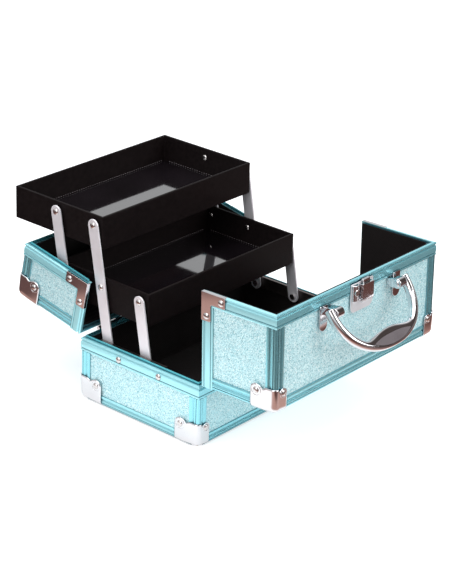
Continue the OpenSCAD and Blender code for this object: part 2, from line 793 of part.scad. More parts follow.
// Pivot rivets fixed in the rails, with their heads on the straps' inner faces
module rail_pivot_rivets() {
    head_t = 1.2;
    color(CHROME) both_ends() for (y = [front_pivot_y, long_pivot_y])
        translate([0, y, base_pivot_z]) rotate([0, 90, 0]) {
            translate([0, 0, strap_x - 0.1 - head_t]) cylinder(r = 3, h = head_t);
            translate([0, 0, strap_x - 0.1]) cylinder(r = pivot_r, h = rail_x + rail_t + 0.1 - strap_x);
            translate([0, 0, strap_x + strap_t + 0.1]) cylinder(r = 3.5, h = rail_x - strap_x - strap_t - 0.1);
            translate([0, 0, rail_x + rail_t]) cylinder(r = 2.4, h = 0.6);
        }
}

// ---------- nodes ----------

base_bottom_board();
base_long_boards();
base_end_boards();
base_underside_sheet();
base_skins();
base_lining();
base_rim();
base_corner_posts();
base_bottom_rails();
base_corner_guards();
base_rivets();
tray_rails();
rail_pivot_rivets();
base_hinge_leaves();
front_hinge_pins();
rear_hinge_pins();
front_lid_front_board();
front_lid_top_board();
front_lid_end_boards();
front_lid_skins();
front_lid_lining();
front_lid_rim();
front_lid_edge_angles();
front_lid_corner_guards();
front_lid_brackets();
front_lid_rivets();
front_hinge_leaves();
rear_lid_rear_board();
rear_lid_top_board();
rear_lid_end_boards();
rear_lid_skins();
rear_lid_lining();
rear_lid_rim();
rear_lid_edge_angles();
rear_lid_corner_guards();
rear_lid_brackets();
rear_lid_rivets();
rear_hinge_leaves();
latch_strike();
handle_feet();
handle_pins();
handle_bow();
handle_grip();
latch_plate();
latch_pin();
latch_lever();
latch_claw();
lock_barrel();
lower_tray();
lower_tray_mat();
lower_tray_rivets();
upper_tray();
upper_tray_mat();
upper_tray_rivets();
long_straps();
front_straps();
rear_straps();
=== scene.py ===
import json
import math
import random

import bmesh
import bpy
from mathutils import Matrix, Vector


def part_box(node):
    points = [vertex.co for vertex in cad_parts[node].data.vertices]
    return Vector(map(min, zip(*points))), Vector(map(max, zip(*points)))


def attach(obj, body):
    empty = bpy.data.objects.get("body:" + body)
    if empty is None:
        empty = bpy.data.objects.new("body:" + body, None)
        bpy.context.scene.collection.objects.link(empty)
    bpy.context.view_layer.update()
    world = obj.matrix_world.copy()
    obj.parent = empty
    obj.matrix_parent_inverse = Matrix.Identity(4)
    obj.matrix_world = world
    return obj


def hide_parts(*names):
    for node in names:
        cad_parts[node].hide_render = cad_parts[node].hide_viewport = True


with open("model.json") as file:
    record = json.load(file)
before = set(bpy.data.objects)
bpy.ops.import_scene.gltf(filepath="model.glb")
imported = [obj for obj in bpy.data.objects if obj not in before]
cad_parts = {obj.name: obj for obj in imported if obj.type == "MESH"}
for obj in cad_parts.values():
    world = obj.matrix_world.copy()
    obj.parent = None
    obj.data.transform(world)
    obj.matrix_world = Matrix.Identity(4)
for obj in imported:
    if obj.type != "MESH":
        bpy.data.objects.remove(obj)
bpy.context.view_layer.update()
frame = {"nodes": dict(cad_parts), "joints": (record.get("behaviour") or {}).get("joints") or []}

# Looks of the makeup train case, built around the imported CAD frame.
# Shapes are laid out in millimetres; each lid is laid out shut, then opened about its hinge.

MM = 0.001
joints = {j["name"]: j for j in frame["joints"]}


def box_mm(node):
    """Lowest and highest corners of a CAD node, in millimetres."""
    low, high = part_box(node)
    return low / MM, high / MM


# ---------- driving sizes, in millimetres, from the frame ----------
EXT_T = 1.2             # wall of the extrusions
BOARD_IN = 4.6          # depth of the boards' inner faces
RIM_IN = BOARD_IN + EXT_T
RIM_W = 13.3            # visible width of the rim extrusions
BAND_W = 12.0           # visible width of the edge angles
RAIL_W = 10.0           # visible width of the bottom rails
INNER_LEG = 8.0         # height of a rim extrusion's inner leg
IN_GUARD = 9.0          # how far short of a corner an extrusion ends, inside the guard
TONGUE = 2.5
GROOVE = 2.7
LID_H = 86.8            # height of the closed lids above the rim
REAR_OPEN = math.radians(78.8)

rim_high = box_mm("base_rim")[1]
HALF_L = rim_high.x
HALF_W = rim_high.y
RIM = rim_high.z - TONGUE
TOP = RIM + LID_H
FRONT_HINGE = Vector(joints["front_lid_hinge"]["pos_m"]) / MM
REAR_HINGE = Vector(joints["rear_lid_hinge"]["pos_m"]) / MM
panel_normal = Vector(joints["lock_turn"]["axis"])
FRONT_OPEN = math.atan2(-panel_normal.y, panel_normal.z)


def turned(pivot, angle):
    """Turns about an axis along X through the pivot."""
    return Matrix.Translation(pivot) @ Matrix.Rotation(angle, 4, "X") @ Matrix.Translation(-pivot)


AS_BUILT = Matrix.Identity(4)
OPEN_FRONT = turned(FRONT_HINGE, FRONT_OPEN)
OPEN_REAR = turned(REAR_HINGE, -REAR_OPEN)
MIRROR_Y = Matrix.Diagonal((1, -1, 1, 1))
SHUT_FRONT = OPEN_FRONT.inverted()


def shut_box(node, opened):
    """A lid node's corners, turned back to the shut position."""
    back = opened.inverted()
    points = [back @ (v.co / MM) for v in frame["nodes"][node].data.vertices]
    low = Vector([min(p[i] for p in points) for i in range(3)])
    high = Vector([max(p[i] for p in points) for i in range(3)])
    return low, high


SPLIT = shut_box("front_lid_rim", OPEN_FRONT)[1].y
FRONT_DEPTH = SPLIT + HALF_W
REAR_DEPTH = HALF_W - SPLIT

# ---------- materials ----------


class Nodes:
    """Short helper that adds shader nodes and wires them up."""

    def __init__(self, tree):
        self.tree = tree

    def add(self, kind, props=None, **inputs):
        node = self.tree.nodes.new(kind)
        for key, value in (props or {}).items():
            setattr(node, key, value)
        self.wire(node, **inputs)
        return node

    def wire(self, node, **inputs):
        """Sets or links several inputs, with _ for each space in their names."""
        for key, value in inputs.items():
            self.set(node, key.replace("_", " "), value)

    def set(self, node, key, value):
        socket = node.inputs[int(key)] if key.isdigit() else node.inputs[key]
        if isinstance(value, bpy.types.NodeSocket):
            self.tree.links.new(value, socket)
        else:
            socket.default_value = value

    def math(self, operation, a, b=0.0):
        node = self.tree.nodes.new("ShaderNodeMath")
        node.operation = operation
        self.set(node, "0", a)
        self.set(node, "1", b)
        return node.outputs[0]

    def vector(self, operation, a, b=None, **inputs):
        node = self.add("ShaderNodeVectorMath", {"operation": operation}, **{"0": a}, **inputs)
        if b is not None:
            self.set(node, "1", b)
        return node

    def ramp(self, factor, stops):
        node = self.tree.nodes.new("ShaderNodeValToRGB")
        elements = node.color_ramp.elements
        while len(elements) < len(stops):
            elements.new(0.5)
        for element, (place, colour) in zip(elements, stops):
            element.position = place
            element.color = (*colour, 1)
        self.set(node, "0", factor)
        return node.outputs[0]

    def place(self, scale=(1, 1, 1)):
        """Object coordinates, in metres, scaled per axis."""
        where = self.tree.nodes.new("ShaderNodeTexCoord").outputs["Object"]
        return self.add("ShaderNodeMapping", Vector=where, Scale=scale).outputs[0]

    def noise(self, where, scale, detail=3.0):
        return self.add("ShaderNodeTexNoise", Vector=where, Scale=scale, Detail=detail).outputs[0]

    def bump(self, height, strength, distance):
        return self.add("ShaderNodeBump", Strength=strength, Distance=distance, Height=height).outputs[0]


def material(name):
    """A new material: its node helper and its Principled shader."""
    made = bpy.data.materials.new(name)
    made.use_nodes = True
    return made, Nodes(made.node_tree), made.node_tree.nodes["Principled BSDF"]


def glitter_material():
    made, n, shader = material("glitter_film")
    where = n.place()
    coarse = n.add("ShaderNodeTexVoronoi", Vector=where, Scale=1350.0)
    fine = n.add("ShaderNodeTexVoronoi", Vector=where, Scale=2600.0)
    pick = n.add("ShaderNodeSeparateColor", Color=coarse.outputs["Color"])
    pick_fine = n.add("ShaderNodeSeparateColor", Color=fine.outputs["Color"])
    mixed = n.math("ADD", n.math("MULTIPLY", pick.outputs[0], 0.6),
                   n.math("MULTIPLY", pick_fine.outputs[0], 0.4))
    colour = n.ramp(mixed, [
        (0.0, (0.08, 0.24, 0.28)), (0.2, (0.20, 0.47, 0.53)), (0.4, (0.42, 0.73, 0.79)),
        (0.62, (0.60, 0.89, 0.93)), (0.85, (0.90, 1.0, 1.0))])
    n.set(shader, "Base Color", colour)
    facing = n.tree.nodes.new("ShaderNodeNewGeometry").outputs["Normal"]
    tilt = n.vector("SUBTRACT", coarse.outputs["Color"], (0.5, 0.5, 0.5))
    spread = n.vector("SCALE", tilt.outputs[0], Scale=0.5)
    leaning = n.vector("ADD", facing, spread.outputs[0])
    unit = n.vector("NORMALIZE", leaning.outputs[0])
    n.wire(shader, Normal=unit.outputs[0], Metallic=0.40, Roughness=0.38, Coat_Weight=0.35,
           Coat_Roughness=0.12)
    return made


def metal_material(name, colour, roughness, streak=(1, 1, 1), grain=0.0, smudge=0.08, metallic=1.0):
    """Metal with long polishing streaks and faint smudges."""
    made, n, shader = material(name)
    lines = n.noise(n.place(streak), 900.0, 2.0)
    marks = n.noise(n.place(), 55.0, 4.0)
    n.set(shader, "Base Color", n.ramp(marks, [
        (0.3, tuple(c * 0.93 for c in colour)), (0.7, colour)]))
    rough = n.math("ADD", n.math("MULTIPLY", marks, smudge), roughness - smudge / 2)
    n.wire(shader, Roughness=n.math("ADD", rough, n.math("MULTIPLY", lines, grain)), Metallic=metallic)
    if grain:
        n.set(shader, "Normal", n.bump(lines, 0.15, 0.00012))
    return made


def anodised_material(name, colour, streak, metallic=0.74):
    """Clear anodised extrusion: a tinted metal with drawn lines under a hard gloss."""
    made, n, shader = material(name)
    lines = n.noise(n.place(streak), 1200.0, 2.0)
    marks = n.noise(n.place(), 40.0, 4.0)
    tone = n.math("ADD", n.math("MULTIPLY", lines, 0.5), n.math("MULTIPLY", marks, 0.5))
    drawn = n.ramp(tone, [(0.35, tuple(c * 0.96 for c in colour)), (0.65, colour)])
    # Painted shade: ambient occlusion darkens the base colour in creases and hollows
    open_sky = n.add("ShaderNodeAmbientOcclusion", {"samples": 16}, Distance=0.004).outputs["AO"]
    shade = n.ramp(open_sky, [(0.45, (0.05, 0.14, 0.17)), (0.93, (1, 1, 1))])
    mix = n.add("ShaderNodeMix", {"data_type": "RGBA", "blend_type": "MULTIPLY"})
    n.set(mix, "0", 1.0)
    n.set(mix, "6", drawn)
    n.set(mix, "7", shade)
    n.wire(shader, Base_Color=mix.outputs[2],
           Roughness=n.math("ADD", n.math("MULTIPLY", lines, 0.08), 0.20), Metallic=metallic,
           Coat_Weight=0.7, Coat_Roughness=0.10)
    return made


def leatherette_material():
    made, n, shader = material("tray_leatherette")
    where = n.place()
    cells = n.add("ShaderNodeTexVoronoi", {"feature": "SMOOTH_F1"}, Vector=where, Scale=900.0)
    crease = n.noise(where, 260.0, 6.0)
    height = n.math("ADD", n.math("MULTIPLY", cells.outputs["Distance"], 0.7),
                    n.math("MULTIPLY", crease, 0.6))
    n.set(shader, "Base Color", n.ramp(crease, [
        (0.3, (0.0035, 0.0020, 0.0022)), (0.7, (0.0075, 0.0048, 0.0050))]))
    n.wire(shader, Roughness=n.math("ADD", n.math("MULTIPLY", crease, 0.18), 0.44),
           Specular_IOR_Level=0.09, Normal=n.bump(height, 0.35, 0.00022))
    return made


def fabric_material():
    made, n, shader = material("black_lining_weave")
    where = n.place((1, 1, 1))
    warp = n.add("ShaderNodeTexWave", {"wave_type": "BANDS", "bands_direction": "DIAGONAL"},
                 Vector=where, Scale=330.0, Distortion=1.2)
    weft = n.add("ShaderNodeTexWave", {"wave_type": "BANDS", "bands_direction": "Z"},
                 Vector=where, Scale=330.0, Distortion=1.2)
    weave = n.math("MULTIPLY", warp.outputs["Fac"], weft.outputs["Fac"])
    cloud = n.noise(where, 30.0, 4.0)
    tone = n.math("ADD", n.math("MULTIPLY", weave, 0.6), n.math("MULTIPLY", cloud, 0.4))
    n.wire(shader,
           Base_Color=n.ramp(tone, [(0.2, (0.0035, 0.0022, 0.0022)), (0.9, (0.014, 0.009, 0.009))]),
           Roughness=0.92, Sheen_Weight=0.06, Sheen_Roughness=0.5, Specular_IOR_Level=0.15,
           Normal=n.bump(weave, 0.5, 0.0003))
    return made


def mat_material():
    made, n, shader = material("glossy_tray_sheet")
    where = n.place()
    haze = n.noise(where, 18.0, 5.0)
    n.wire(shader, Base_Color=n.ramp(haze, [(0.3, (0.004, 0.003, 0.004)), (0.7, (0.008, 0.006, 0.008))]),
           Roughness=n.math("ADD", n.math("MULTIPLY", haze, 0.05), 0.03), IOR=2.9, Coat_Weight=0.8,
           Coat_Roughness=0.05, Normal=n.bump(n.noise(where, 25.0, 2.0), 0.04, 0.0006))
    return made


def board_material():
    made, n, shader = material("fibreboard")
    where = n.place((1, 1, 4))
    fibre = n.noise(where, 500.0, 6.0)
    n.wire(shader, Base_Color=n.ramp(fibre, [(0.3, (0.34, 0.22, 0.12)), (0.7, (0.52, 0.37, 0.22))]),
           Roughness=0.85, Normal=n.bump(fibre, 0.3, 0.0003))
    return made


def pebble_material(name, dark, light, roughness):
    """Lightly pebbled moulded sheet."""
    made, n, shader = material(name)
    where = n.place()
    pebble = n.add("ShaderNodeTexVoronoi", {"feature": "SMOOTH_F1"}, Vector=where, Scale=700.0)
    n.wire(shader, Base_Color=n.ramp(n.noise(where, 40.0), [(0.3, dark), (0.7, light)]),
           Roughness=roughness, Normal=n.bump(pebble.outputs["Distance"], 0.4, 0.0003))
    return made


PALE_TURQUOISE = (0.29, 0.72, 0.81)
DEEP_TURQUOISE = (0.12, 0.60, 0.69)
GLITTER = glitter_material()
ALU_X = anodised_material("turquoise_anodised_x", PALE_TURQUOISE, (0.01, 1, 1))
# Lit and shaded copies of the one anodised finish: the pieces on the ends get a paler, less metallic copy as
# painted light, and the lids' edge angles along the ends get a darker copy as painted shade
ALU_PAINTED_LIT_ENDS = anodised_material("turquoise_anodised_painted_lit_ends", (0.38, 0.80, 0.87), (1, 0.01, 1), metallic=0.5)
ALU_PAINTED_SHADE_EDGES = anodised_material("turquoise_anodised_painted_shade_edges", (0.24, 0.64, 0.73), (1, 0.01, 1), metallic=0.85)
TONGUE_ALU = anodised_material("turquoise_anodised_tongue", DEEP_TURQUOISE, (0.1, 0.1, 1))
CHROME = metal_material("polished_chrome", (0.78, 0.77, 0.79), 0.10)
SATIN_CHROME = metal_material("satin_chrome", (0.80, 0.80, 0.83), 0.36, metallic=0.6)
STEEL = metal_material("satin_strap_steel", (0.88, 0.86, 0.90), 0.34, (1, 0.2, 0.03), 0.15, metallic=0.6)
RAIL_STEEL = metal_material("dark_rail_steel", (0.20, 0.175, 0.17), 0.30, (1, 0.05, 1), 0.1)
RIVET = metal_material("rivet_steel", (0.70, 0.66, 0.65), 0.16)
LEATHER = leatherette_material()
FABRIC = fabric_material()
MAT = mat_material()
BOARD = board_material()
UNDERSIDE = pebble_material("underside_sheet", (0.012, 0.012, 0.013), (0.022, 0.022, 0.024), 0.5)
GRIP = pebble_material("grip_pad", (0.075, 0.062, 0.068), (0.10, 0.085, 0.092), 0.42)
THREAD = pebble_material("crimp_dots", (0.07, 0.06, 0.065), (0.16, 0.14, 0.15), 0.40)

# ---------- mesh building ----------


class Shape:
    """A growing list of vertices and faces, in millimetres."""

    def __init__(self):
        self.points = []
        self.faces = []

    def add(self, points, faces, matrix=AS_BUILT):
        start = len(self.points)
        flip = matrix.determinant() < 0
        self.points += [matrix @ Vector(p) for p in points]
        for face in faces:
            order = [start + i for i in face]
            self.faces.append(order[::-1] if flip else order)

    def join(self, other, matrix=AS_BUILT):
        self.add(other.points, other.faces, matrix)


def piece(name, shape, finish, body, replaces=(), matrix=AS_BUILT, bevel=0.0, solid=0.0, weld=False,
          smooth=35.0, segments=2):
    """Makes a piece from a shape, with its modifiers added to the object."""
    mesh = bpy.data.meshes.new(name)
    mesh.from_pydata([matrix @ p * MM for p in shape.points], [], shape.faces)
    edit = bmesh.new()
    edit.from_mesh(mesh)
    if weld:
        bmesh.ops.remove_doubles(edit, verts=edit.verts, dist=0.00001)
    bmesh.ops.recalc_face_normals(edit, faces=edit.faces)
    edit.to_mesh(mesh)
    edit.free()
    made = bpy.data.objects.new(name, mesh)
    bpy.context.scene.collection.objects.link(made)
    for polygon in mesh.polygons:
        polygon.use_smooth = True
    mesh.set_sharp_from_angle(angle=math.radians(smooth))
    if solid:
        modifier = made.modifiers.new("thickness", "SOLIDIFY")
        modifier.thickness = solid * MM
        modifier.offset = -1
    if bevel:
        modifier = made.modifiers.new("edges", "BEVEL")
        modifier.width = bevel * MM
        modifier.segments = segments
        modifier.limit_method = "ANGLE"
        modifier.angle_limit = math.radians(smooth)
        modifier.harden_normals = True
    mesh.materials.append(finish)
    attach(made, body)
    if replaces:
        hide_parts(*replaces)
    return made


def slab(low, high):
    """Box between two corners."""
    x, y, z = [(low[i], high[i]) for i in range(3)]
    points = [(x[i], y[j], z[k]) for i in (0, 1) for j in (0, 1) for k in (0, 1)]
    faces = [(0, 1, 3, 2), (4, 6, 7, 5), (0, 4, 5, 1), (2, 3, 7, 6), (0, 2, 6, 4), (1, 5, 7, 3)]
    shape = Shape()
    shape.add(points, faces)
    return shape


def prism(outline, low, high, matrix=AS_BUILT):
    """Outline in x and y, from height low to height high."""
    count = len(outline)
    points = [(x, y, z) for z in (low, high) for x, y in outline]
    faces = [tuple(range(count))[::-1], tuple(range(count, 2 * count))]
    faces += [(i, (i + 1) % count, count + (i + 1) % count, count + i) for i in range(count)]
    shape = Shape()
    shape.add(points, faces, matrix)
    return shape


def arc(centre, radius, start, stop, steps=6):
    """Points on an arc, with its angles in degrees."""
    turns = [math.radians(start + (stop - start) * i / steps) for i in range(steps + 1)]
    return [(centre[0] + radius * math.cos(t), centre[1] + radius * math.sin(t)) for t in turns]


def strip(profile, start, end, inward, along, cuts=((0, 0), (0, 0))):
    """Sweeps a profile of (depth, run) from start to end; each cut slopes an end by depth and run."""
    start, end = Vector(start), Vector(end)
    inward, along = Vector(inward), Vector(along)
    axis = (end - start).normalized()
    count = len(profile)
    points = []
    for place, way, (by_depth, by_run) in ((start, axis, cuts[0]), (end, -axis, cuts[1])):
        for depth, run in profile:
            points.append(place + inward * depth + along * run + way * (by_depth * depth + by_run * run))
    faces = [tuple(range(count)), tuple(range(2 * count - 1, count - 1, -1))]
    faces += [(i, (i + 1) % count, count + (i + 1) % count, count + i) for i in range(count)]
    shape = Shape()
    shape.add(points, faces)
    return shape


def dome(centre, normal, radius=3.2, height=1.5, rings=6, around=24):
    """Domed rivet head on a surface."""
    facing = Vector(normal).to_track_quat("Z", "Y").to_matrix().to_4x4()
    matrix = Matrix.Translation(Vector(centre)) @ facing
    points = [(0, 0, height)]
    for i in range(1, rings + 1):
        lean = math.pi / 2 * i / rings
        r, z = radius * math.sin(lean), height * math.cos(lean)
        points += [(r * math.cos(math.tau * k / around), r * math.sin(math.tau * k / around), z)
                   for k in range(around)]
    faces = [(0, 1 + k, 1 + (k + 1) % around) for k in range(around)]
    for i in range(rings - 1):
        a = 1 + i * around
        faces += [(a + k, a + around + k, a + around + (k + 1) % around, a + (k + 1) % around)
                  for k in range(around)]
    faces.append(tuple(range(len(points) - 1, len(points) - 1 - around, -1)))
    shape = Shape()
    shape.add(points, faces, matrix)
    return shape


def rod(start, end, radius, around=24):
    """Round bar between two points, with chamfered ends."""
    start, end = Vector(start), Vector(end)
    facing = (end - start).to_track_quat("Z", "Y").to_matrix().to_4x4()
    length = (end - start).length
    chamfer = min(0.35, radius * 0.3)
    inner = radius - chamfer
    profile = [(inner, 0), (radius, chamfer), (radius, length - chamfer), (inner, length)]
    points, faces = [], []
    for r, z in profile:
        points += [(r * math.cos(math.tau * k / around), r * math.sin(math.tau * k / around), z)
                   for k in range(around)]
    for i in range(len(profile) - 1):
        a = i * around
        faces += [(a + k, a + (k + 1) % around, a + around + (k + 1) % around, a + around + k)
                  for k in range(around)]
    faces += [tuple(range(around))[::-1], tuple(range(3 * around, 4 * around))]
    shape = Shape()
    shape.add(points, faces, Matrix.Translation(start) @ facing)
    return shape


def both_ends(shape):
    """The shape and its mirror image at the other end of the case."""
    pair = Shape()
    pair.join(shape)
    pair.join(shape, Matrix.Diagonal((-1, 1, 1, 1)))
    return pair


def four_corners(shape):
    pair = both_ends(shape)
    four = Shape()
    four.join(pair)
    four.join(pair, MIRROR_Y)
    return four


def cove(middle, half, depth, lift=0.0):
    """Soft hollow across an extrusion's face."""
    return [(lift + depth * math.cos(math.pi / 2 * k / 4) ** 2, middle + half * k / 4) for k in range(-4, 5)]


def crown(start, stop, lift=0.12):
    """Slightly domed band between two hollows."""
    return [(lift * (2 * k / 6 - 1) ** 2, start + (stop - start) * k / 6) for k in range(7)]


ROLLED_EDGE = [(0.12, -0.5), (0.3, -0.15), (0.65, 0)]


def rim_leg():
    """Outer face of a rim: rolled edge, hollow, broad band, fine groove, narrow rib."""
    face = cove(2.9, 1.5, 0.85) + crown(4.6, 10.0) + cove(10.6, 0.5, 0.6, 0.1) + crown(11.2, 12.6, 0.1)
    return arc((1.2, 1.2), 1.2, 270, 180) + face + [(d, RIM_W + w) for d, w in ROLLED_EDGE]


def leg(width, radius):
    """Rounded outer corner, then a rib, a hollow and a second rib out to the rolled edge."""
    share = (width - radius) / 9.5
    face = cove(radius + 0.5, 0.45, 0.55) + crown(radius + 1.1, radius + 2.3 * share, 0.1)
    face += cove(radius + 4.4 * share, 1.9 * share, 0.9) + crown(radius + 6.5 * share, width - 0.9, 0.12)
    return arc((radius, radius), radius, 270, 180) + face + [(d, width + w) for d, w in ROLLED_EDGE]


def tongue_profile():
    return [(BOARD_IN, 0.2), (BOARD_IN, 0.3 - TONGUE), (BOARD_IN - 0.3, -TONGUE),
            (BOARD_IN - EXT_T + 0.3, -TONGUE), (BOARD_IN - EXT_T, 0.3 - TONGUE), (BOARD_IN - EXT_T, 0.2)]


def flat_rim_profile():
    """Rim extrusion whose tongue is a strip of its own."""
    inside = [(EXT_T, RIM_W), (EXT_T, EXT_T), (BOARD_IN, EXT_T), (BOARD_IN, INNER_LEG),
              (RIM_IN, INNER_LEG), (RIM_IN, 0)]
    return rim_leg() + inside


def groove_profile():
    lip = BOARD_IN - EXT_T - 0.2
    shelf = GROOVE + EXT_T
    inside = [(EXT_T, RIM_W), (EXT_T, EXT_T), (lip - EXT_T, EXT_T), (lip - EXT_T, shelf), (BOARD_IN, shelf),
              (BOARD_IN, INNER_LEG), (RIM_IN, INNER_LEG), (RIM_IN, GROOVE), (lip, GROOVE), (lip, 0)]
    return rim_leg() + inside


def angle_profile(width=BAND_W):
    side = leg(width, 2.5)
    other = [(v, u) for u, v in side[::-1]]
    corner = len(arc((0, 0), 1, 0, 1))
    return other[:-corner] + side + [(EXT_T, width), (EXT_T, EXT_T), (width, EXT_T)]


X, Y, Z = Vector((1, 0, 0)), Vector((0, 1, 0)), Vector((0, 0, 1))
BY_DEPTH, BY_RUN, SQUARE = (1, 0), (0, 1), (0, 0)
MITRED = (BY_DEPTH, BY_DEPTH)


def base_extrusions():
    long_rim, end_rim, tongue = Shape(), Shape(), Shape()
    for side in (-1, 1):
        x, y = side * HALF_L, side * HALF_W
        along = [(-HALF_L, y, RIM), (HALF_L, y, RIM), -side * Y, -Z, MITRED]
        across = [(x, -HALF_W, RIM), (x, HALF_W, RIM), -side * X, -Z, MITRED]
        long_rim.join(strip(flat_rim_profile(), *along))
        end_rim.join(strip(flat_rim_profile(), *across))
        tongue.join(strip(tongue_profile(), *along))
        tongue.join(strip(tongue_profile(), *across))
    piece("base_rim_tongue", tongue, TONGUE_ALU, "root")
    piece("base_rim_long", long_rim, ALU_X, "root", ["base_rim"])
    piece("base_rim_ends", end_rim, ALU_PAINTED_LIT_ENDS, "root")
    post = strip(angle_profile(), (-HALF_L, -HALF_W, RAIL_W), (-HALF_L, -HALF_W, RIM - RIM_W), X, Y)
    piece("base_posts", four_corners(post), ALU_X, "root", ["base_corner_posts"])
    long_rail, end_rail = Shape(), Shape()
    for side in (-1, 1):
        x, y = side * HALF_L, side * HALF_W
        long_rail.join(strip(angle_profile(RAIL_W), (IN_GUARD - HALF_L, y, 0), (HALF_L - IN_GUARD, y, 0),
                             -side * Y, Z))
        end_rail.join(strip(angle_profile(RAIL_W), (x, IN_GUARD - HALF_W, 0), (x, HALF_W - IN_GUARD, 0),
                            -side * X, Z))
    piece("base_rails_long", long_rail, ALU_X, "root", ["base_bottom_rails"])
    piece("base_rails_ends", end_rail, ALU_PAINTED_LIT_ENDS, "root")


def lid_extrusions(prefix, depth, split_profile, body, matrix):
    """Rim, split edge and edge angles of a lid, laid out shut with its hinge wall at -Y."""
    edge = depth - HALF_W
    along_x, along_y, tongue = Shape(), Shape(), Shape()
    along_x.join(strip(groove_profile(), (-HALF_L, -HALF_W, RIM), (HALF_L, -HALF_W, RIM), Y, Z, MITRED))
    along_x.join(strip(split_profile, (-HALF_L, edge, TOP), (HALF_L, edge, TOP), -Z, -Y, MITRED))
    for side in (-1, 1):
        x = side * HALF_L
        along_y.join(strip(groove_profile(), (x, -HALF_W, RIM), (x, edge, RIM), -side * X, Z,
                           (BY_DEPTH, BY_RUN)))
        along_y.join(strip(split_profile, (x, edge, RIM), (x, edge, TOP), -side * X, -Y, (BY_RUN, BY_DEPTH)))
        tongue.join(strip(tongue_profile(), (x, edge, RIM + 3), (x, edge, TOP), -side * X, -Y,
                          (SQUARE, BY_DEPTH)))
    tongue.join(strip(tongue_profile(), (-HALF_L, edge, TOP), (HALF_L, edge, TOP), -Z, -Y, MITRED))
    if prefix == "rear_lid":
        piece(prefix + "_tongue", tongue, TONGUE_ALU, body, (), matrix)
    piece(prefix + "_rim_x", along_x, ALU_X, body, [prefix + "_rim"], matrix)
    piece(prefix + "_rim_y", along_y, ALU_PAINTED_LIT_ENDS, body, (), matrix)
    angles_x, angles_y = Shape(), Shape()
    angles_x.join(strip(angle_profile(), (IN_GUARD - HALF_L, -HALF_W, TOP), (HALF_L - IN_GUARD, -HALF_W, TOP),
                        Y, -Z))
    for side in (-1, 1):
        x = side * HALF_L
        angles_y.join(strip(angle_profile(), (x, IN_GUARD - HALF_W, TOP), (x, edge - RIM_W, TOP),
                            -side * X, -Z))
        angles_x.join(strip(angle_profile(), (x, -HALF_W, RIM + RIM_W), (x, -HALF_W, TOP - IN_GUARD),
                            -side * X, Y))
    piece(prefix + "_angles_x", angles_x, ALU_X, body, [prefix + "_edge_angles"], matrix)
    piece(prefix + "_angles_y", angles_y, ALU_PAINTED_SHADE_EDGES, body, (), matrix)


# ---------- chrome corners, brackets and rivets ----------
GUARD_T = 1.2
GUARD_L = 29.0          # reach along the ends
GUARD_W = 16.0          # reach along the front and back
GUARD_H = 24.5
EAR_Z = 19.0
END_EAR = (GUARD_L - 6.5, 6.5)      # place and radius of the ear on the ends
SIDE_EAR = (GUARD_W - 4.7, 4.7)


def ear_outline(ear):
    """Outer edge of a guard's upright face, from its foot round the ear to the upright edge."""
    at, radius = ear
    top = arc((at, EAR_Z), radius, 0, 140, 10)
    neck = at - radius
    shoulder = [(neck - 0.8, EAR_Z + radius * 0.45), (neck * 0.7, GUARD_H - 0.4), (0, GUARD_H)]
    return [(at + radius, 0)] + top + shoulder


def plain_outline():
    """Outer edge of a guard's flat face."""
    return [(GUARD_W, 0)] + arc((GUARD_W - 5, GUARD_L - 5), 5, 0, 90, 8) + [(0, GUARD_L)]


def reach(outline, angle):
    """Distance from the corner to the outline, in the direction of the angle."""
    dx, dy = math.cos(angle), math.sin(angle)
    best = 0.0
    for (ax, ay), (bx, by) in zip(outline, outline[1:]):
        ex, ey = bx - ax, by - ay
        cross = dx * ey - dy * ex
        if abs(cross) < 1e-9:
            continue
        along = (ax * ey - ay * ex) / cross
        share = (ax * dy - ay * dx) / cross
        if -1e-6 <= share <= 1 + 1e-6:
            best = max(best, along)
    return best


def round_corner(point):
    """Rounds the three edges of an octant, more at the ball of the corner."""
    p = Vector(point)
    radius = 4.4 + 1.9 * math.exp(-p.length_squared / 200)
    inner = Vector([max(c, radius) for c in p])
    out = p - inner
    return inner + out.normalized() * radius if out.length > 1e-9 else p


def guard():
    """Pressed corner, reaching along +X, +Y and +Z from its outer corner."""
    shape = Shape()
    lines, rows = 40, 18
    faces_of = [(ear_outline(END_EAR), lambda a, b: (0, a, b)),
                (ear_outline(SIDE_EAR), lambda a, b: (a, 0, b)),
                (plain_outline(), lambda a, b: (a, b, 0))]
    for outline, place in faces_of:
        points = []
        for i in range(lines + 1):
            angle = math.pi / 4 * (1 - math.cos(math.pi * i / lines))
            length = reach(outline, angle)
            for j in range(rows + 1):
                out = length * j / rows
                points.append(round_corner(place(out * math.cos(angle), out * math.sin(angle))))
        faces = []
        for i in range(lines):
            for j in range(rows):
                a, b = i * (rows + 1) + j, (i + 1) * (rows + 1) + j
                faces.append((a, b, b + 1, a + 1) if j else (a, b + 1, a + 1))
        shape.add(points, faces)
    return shape


def base_guards():
    matrix = Matrix.Translation((-HALF_L - GUARD_T, -HALF_W - GUARD_T, 0))
    corner = Shape()
    corner.join(guard(), matrix)
    piece("base_guards", four_corners(corner), CHROME, "root", ["base_corner_guards"],
          solid=GUARD_T - 0.1, weld=True, smooth=50)
    heads = Shape()
    corner = Vector((-HALF_L - GUARD_T, -HALF_W - GUARD_T, EAR_Z))
    ears = [(corner + Y * END_EAR[0], -X, 5.2), (corner + X * SIDE_EAR[0], -Y, 4.2)]
    pressed_rings("base_guard_rings", ears, "root", AS_BUILT, True)
    for at, facing, _ in ears:
        heads.join(dome(at, facing))
    every = four_corners(heads)
    for y in (-25, 26):
        every.join(both_ends(dome((HALF_L, y, RIM - 7.3), X)))
    piece("base_rivet_heads", every, RIVET, "root", ["base_rivets"])


